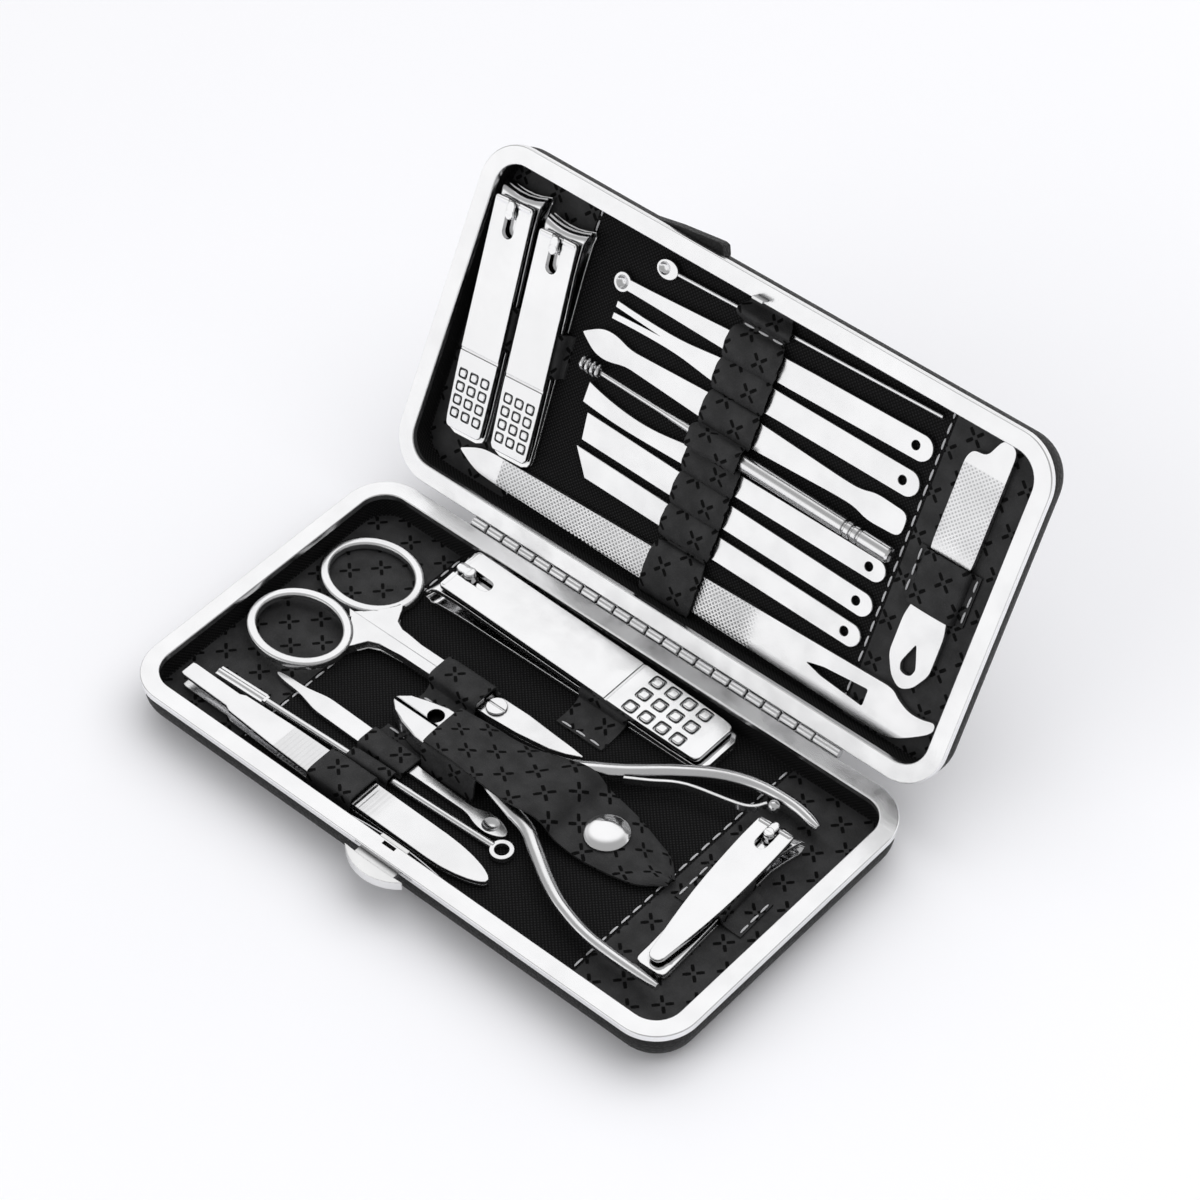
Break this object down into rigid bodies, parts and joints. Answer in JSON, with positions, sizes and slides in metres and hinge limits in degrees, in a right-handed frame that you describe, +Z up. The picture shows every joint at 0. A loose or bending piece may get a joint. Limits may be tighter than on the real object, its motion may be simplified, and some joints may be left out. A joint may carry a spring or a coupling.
{
  "type": "manicure set case",
  "caption": "Hinged hard case with a chrome rim and push latch, open, holding nail clippers, scissors, nippers, tweezers, picks and files under elastic loops.",
  "frame": {"origin": "centre of the base tray's flat underside", "axes": "+X along the case's length, +Y towards the hinge, +Z up; the latch is at -Y"},
  "size_m": [0.16, 0.1403, 0.0881],
  "materials": {
    "cover_leatherette": "satin, fine pebble grain",
    "tray_board": "matte",
    "padding_foam": "soft foam",
    "lining": "matte, embossed",
    "elastic": "matte, embossed",
    "frame_chrome": "polished",
    "hinge_steel": "polished",
    "spring_steel": "satin",
    "latch_metal": "satin",
    "snap_metal": "polished",
    "tool_steel": "polished",
    "clipper_chrome": "polished"
  },
  "bodies": {
    "case_base": {"base_cover": "cover_leatherette", "base_shell": "tray_board", "base_padding": "padding_foam", "base_lining": "lining", "base_frame": "frame_chrome", "hinge_base_leaf": "hinge_steel", "hinge_pin": "hinge_steel", "latch_spring": "spring_steel", "base_tool_loops": "elastic", "snap_stud": "snap_metal", "nipper_half_a": "tool_steel", "nipper_rivet": "tool_steel", "nipper_spring": "spring_steel"},
    "case_lid": {"lid_cover": "cover_leatherette", "lid_shell": "tray_board", "lid_padding": "padding_foam", "lid_lining": "lining", "lid_frame": "frame_chrome", "hinge_lid_leaf": "hinge_steel", "catch_hook": "hinge_steel", "catch_boss": "cover_leatherette", "lid_tool_loops": "elastic"},
    "latch": {"latch_button": "latch_metal"},
    "nipper_strap": {"strap": "elastic", "snap_cap": "snap_metal"},
    "scissors": {"scissors_half_a": "tool_steel", "scissors_screw": "tool_steel"},
    "scissors_second_half": {"scissors_half_b": "tool_steel"},
    "nipper_second_half": {"nipper_half_b": "tool_steel"},
    "tweezers": {"tweezer_lower_arm": "tool_steel"},
    "tweezers_second_arm": {"tweezer_upper_arm": "tool_steel"},
    "spoon_pick": {"spoon_pick": "tool_steel"},
    "ring_rod": {"ring_rod": "tool_steel"},
    "large_clipper": {"large_clipper_lower_leaf": "clipper_chrome", "large_clipper_pin": "clipper_chrome"},
    "large_clipper_top": {"large_clipper_upper_leaf": "clipper_chrome"},
    "large_clipper_arm": {"large_clipper_lever": "clipper_chrome"},
    "slim_clipper": {"slim_clipper_lower_leaf": "clipper_chrome", "slim_clipper_pin": "clipper_chrome"},
    "slim_clipper_top": {"slim_clipper_upper_leaf": "clipper_chrome"},
    "slim_clipper_arm": {"slim_clipper_lever": "clipper_chrome"},
    "lid_clipper_a": {"lid_clipper_a_lower_leaf": "clipper_chrome", "lid_clipper_a_pin": "clipper_chrome"},
    "lid_clipper_a_top": {"lid_clipper_a_upper_leaf": "clipper_chrome"},
    "lid_clipper_a_arm": {"lid_clipper_a_lever": "clipper_chrome"},
    "lid_clipper_b": {"lid_clipper_b_lower_leaf": "clipper_chrome", "lid_clipper_b_pin": "clipper_chrome"},
    "lid_clipper_b_top": {"lid_clipper_b_upper_leaf": "clipper_chrome"},
    "lid_clipper_b_arm": {"lid_clipper_b_lever": "clipper_chrome"},
    "ear_pick": {"ear_pick": "tool_steel"},
    "cup_extractor": {"cup_extractor": "tool_steel"},
    "fork_trimmer": {"fork_trimmer": "tool_steel"},
    "leaf_pusher": {"leaf_pusher": "tool_steel"},
    "coil_extractor": {"coil_extractor": "tool_steel"},
    "curved_knife": {"curved_knife": "tool_steel"},
    "straight_knife": {"straight_knife": "tool_steel"},
    "angled_knife": {"angled_knife": "tool_steel"},
    "nail_file": {"nail_file": "tool_steel"},
    "multi_tool": {"multi_tool": "tool_steel"}
  },
  "joints": [
    {"name": "lid_hinge", "type": "hinge", "parent": "case_base", "child": "case_lid", "pos_m": [0, 0.04362, 0.0121], "axis": [-1, 0, 0], "range_deg": [-119, 0]},
    {"name": "latch_press", "type": "slide", "parent": "case_base", "child": "latch", "axis": [0, 1, 0], "range_m": [0, 0.0009], "stiffness_N_per_m": 1500, "springref_m": -0.0008, "deforming": ["latch_spring"]},
    {"name": "strap_lift", "type": "hinge", "parent": "case_base", "child": "nipper_strap", "pos_m": [0.00114, -0.0068, 0.01238], "axis": [0, -1, 0], "range_deg": [0, 100]},
    {"name": "large_clipper_lift", "type": "slide", "parent": "case_base", "child": "large_clipper", "axis": [0, 0, 1], "range_m": [0, 0.012], "stiffness_N_per_m": 100, "springref_m": -0.004, "deforming": ["base_tool_loops"]},
    {"name": "large_clipper_lever_tilt", "type": "hinge", "parent": "large_clipper", "child": "large_clipper_arm", "pos_m": [-0.04301, 0.0301, 0.01215], "axis": [0, -1, 0], "range_deg": [0, 60]},
    {"name": "large_clipper_squeeze", "type": "hinge", "parent": "large_clipper", "child": "large_clipper_top", "pos_m": [0.02246, 0.0301, 0.00605], "axis": [0, -1, 0], "range_deg": [0, 1.17], "stiffness_Nm_per_rad": 6},
    {"name": "slim_clipper_lift", "type": "slide", "parent": "case_base", "child": "slim_clipper", "axis": [0, 0, 1], "range_m": [0, 0.012], "stiffness_N_per_m": 100, "springref_m": -0.004, "deforming": ["base_tool_loops"]},
    {"name": "slim_clipper_lever_tilt", "type": "hinge", "parent": "slim_clipper", "child": "slim_clipper_arm", "pos_m": [0.05919, 0.01875, 0.01095], "axis": [-0.9994, -0.0349, 0], "range_deg": [0, 60]},
    {"name": "slim_clipper_squeeze", "type": "hinge", "parent": "slim_clipper", "child": "slim_clipper_top", "pos_m": [0.06045, -0.01743, 0.00565], "axis": [-0.9994, -0.0349, 0], "range_deg": [0, 1.49], "stiffness_Nm_per_rad": 6},
    {"name": "lid_clipper_a_lift", "type": "slide", "parent": "case_lid", "child": "lid_clipper_a", "axis": [0, -0.8746, 0.4848], "range_m": [0, 0.012], "stiffness_N_per_m": 100, "springref_m": -0.004, "deforming": ["lid_tool_loops"]},
    {"name": "lid_clipper_a_lever_tilt", "type": "hinge", "parent": "lid_clipper_a", "child": "lid_clipper_a_arm", "pos_m": [-0.06872, 0.07953, 0.07512], "axis": [-0.9976, -0.0338, -0.061], "range_deg": [0, 60]},
    {"name": "lid_clipper_a_squeeze", "type": "hinge", "parent": "lid_clipper_a", "child": "lid_clipper_a_top", "pos_m": [-0.0653, 0.06063, 0.02968], "axis": [-0.9976, -0.0338, -0.061], "range_deg": [0, 1.22], "stiffness_Nm_per_rad": 6},
    {"name": "lid_clipper_b_lift", "type": "slide", "parent": "case_lid", "child": "lid_clipper_b", "axis": [0, -0.8746, 0.4848], "range_m": [0, 0.012], "stiffness_N_per_m": 100, "springref_m": -0.004, "deforming": ["lid_tool_loops"]},
    {"name": "lid_clipper_b_lever_tilt", "type": "hinge", "parent": "lid_clipper_b", "child": "lid_clipper_b_arm", "pos_m": [-0.05472, 0.07856, 0.07337], "axis": [-0.9976, -0.0338, -0.061], "range_deg": [0, 60]},
    {"name": "lid_clipper_b_squeeze", "type": "hinge", "parent": "lid_clipper_b", "child": "lid_clipper_b_top", "pos_m": [-0.05148, 0.06089, 0.03016], "axis": [-0.9976, -0.0338, -0.061], "range_deg": [0, 1.28], "stiffness_Nm_per_rad": 6},
    {"name": "scissors_lift", "type": "slide", "parent": "case_base", "child": "scissors", "axis": [0, 0, 1], "range_m": [0, 0.012], "stiffness_N_per_m": 100, "springref_m": -0.004, "deforming": ["base_tool_loops"]},
    {"name": "scissors_open", "type": "hinge", "parent": "scissors", "child": "scissors_second_half", "pos_m": [-0.01176, 0.0076, 0.00465], "axis": [0, 0, 1], "range_deg": [0, 13]},
    {"name": "nipper_squeeze", "type": "hinge", "parent": "case_base", "child": "nipper_second_half", "pos_m": [-0.00786, -0.0068, 0.00465], "axis": [0, 0, 1], "range_deg": [0, 1.2], "stiffness_Nm_per_rad": 1.5},
    {"name": "tweezers_lift", "type": "slide", "parent": "case_base", "child": "tweezers", "axis": [0, 0, 1], "range_m": [0, 0.012], "stiffness_N_per_m": 100, "springref_m": -0.004, "deforming": ["base_tool_loops"]},
    {"name": "tweezers_squeeze", "type": "hinge", "parent": "tweezers", "child": "tweezers_second_arm", "pos_m": [0.00884, -0.02944, 0.00568], "axis": [0.007, -1, 0], "range_deg": [0, 2.04], "stiffness_Nm_per_rad": 3},
    {"name": "spoon_pick_lift", "type": "slide", "parent": "case_base", "child": "spoon_pick", "axis": [0, 0, 1], "range_m": [0, 0.012], "stiffness_N_per_m": 100, "springref_m": -0.004, "deforming": ["base_tool_loops"]},
    {"name": "ring_rod_lift", "type": "slide", "parent": "case_base", "child": "ring_rod", "axis": [0, 0, 1], "range_m": [0, 0.012], "stiffness_N_per_m": 100, "springref_m": -0.004, "deforming": ["base_tool_loops"]},
    {"name": "ear_pick_lift", "type": "slide", "parent": "case_lid", "child": "ear_pick", "axis": [0, -0.8746, 0.4848], "range_m": [0, 0.012], "stiffness_N_per_m": 100, "springref_m": -0.004, "deforming": ["lid_tool_loops"]},
    {"name": "cup_extractor_lift", "type": "slide", "parent": "case_lid", "child": "cup_extractor", "axis": [0, -0.8746, 0.4848], "range_m": [0, 0.012], "stiffness_N_per_m": 100, "springref_m": -0.004, "deforming": ["lid_tool_loops"]},
    {"name": "fork_trimmer_lift", "type": "slide", "parent": "case_lid", "child": "fork_trimmer", "axis": [0, -0.8746, 0.4848], "range_m": [0, 0.012], "stiffness_N_per_m": 100, "springref_m": -0.004, "deforming": ["lid_tool_loops"]},
    {"name": "leaf_pusher_lift", "type": "slide", "parent": "case_lid", "child": "leaf_pusher", "axis": [0, -0.8746, 0.4848], "range_m": [0, 0.012], "stiffness_N_per_m": 100, "springref_m": -0.004, "deforming": ["lid_tool_loops"]},
    {"name": "coil_extractor_lift", "type": "slide", "parent": "case_lid", "child": "coil_extractor", "axis": [0, -0.8746, 0.4848], "range_m": [0, 0.012], "stiffness_N_per_m": 100, "springref_m": -0.004, "deforming": ["lid_tool_loops"]},
    {"name": "curved_knife_lift", "type": "slide", "parent": "case_lid", "child": "curved_knife", "axis": [0, -0.8746, 0.4848], "range_m": [0, 0.012], "stiffness_N_per_m": 100, "springref_m": -0.004, "deforming": ["lid_tool_loops"]},
    {"name": "straight_knife_lift", "type": "slide", "parent": "case_lid", "child": "straight_knife", "axis": [0, -0.8746, 0.4848], "range_m": [0, 0.012], "stiffness_N_per_m": 100, "springref_m": -0.004, "deforming": ["lid_tool_loops"]},
    {"name": "angled_knife_lift", "type": "slide", "parent": "case_lid", "child": "angled_knife", "axis": [0, -0.8746, 0.4848], "range_m": [0, 0.012], "stiffness_N_per_m": 100, "springref_m": -0.004, "deforming": ["lid_tool_loops"]},
    {"name": "nail_file_lift", "type": "slide", "parent": "case_lid", "child": "nail_file", "axis": [0, -0.8746, 0.4848], "range_m": [0, 0.012], "stiffness_N_per_m": 100, "springref_m": -0.004, "deforming": ["lid_tool_loops"]},
    {"name": "multi_tool_lift", "type": "slide", "parent": "case_lid", "child": "multi_tool", "axis": [0, -0.8746, 0.4848], "range_m": [0, 0.012], "stiffness_N_per_m": 100, "springref_m": -0.004, "deforming": ["lid_tool_loops"]}
  ]
}
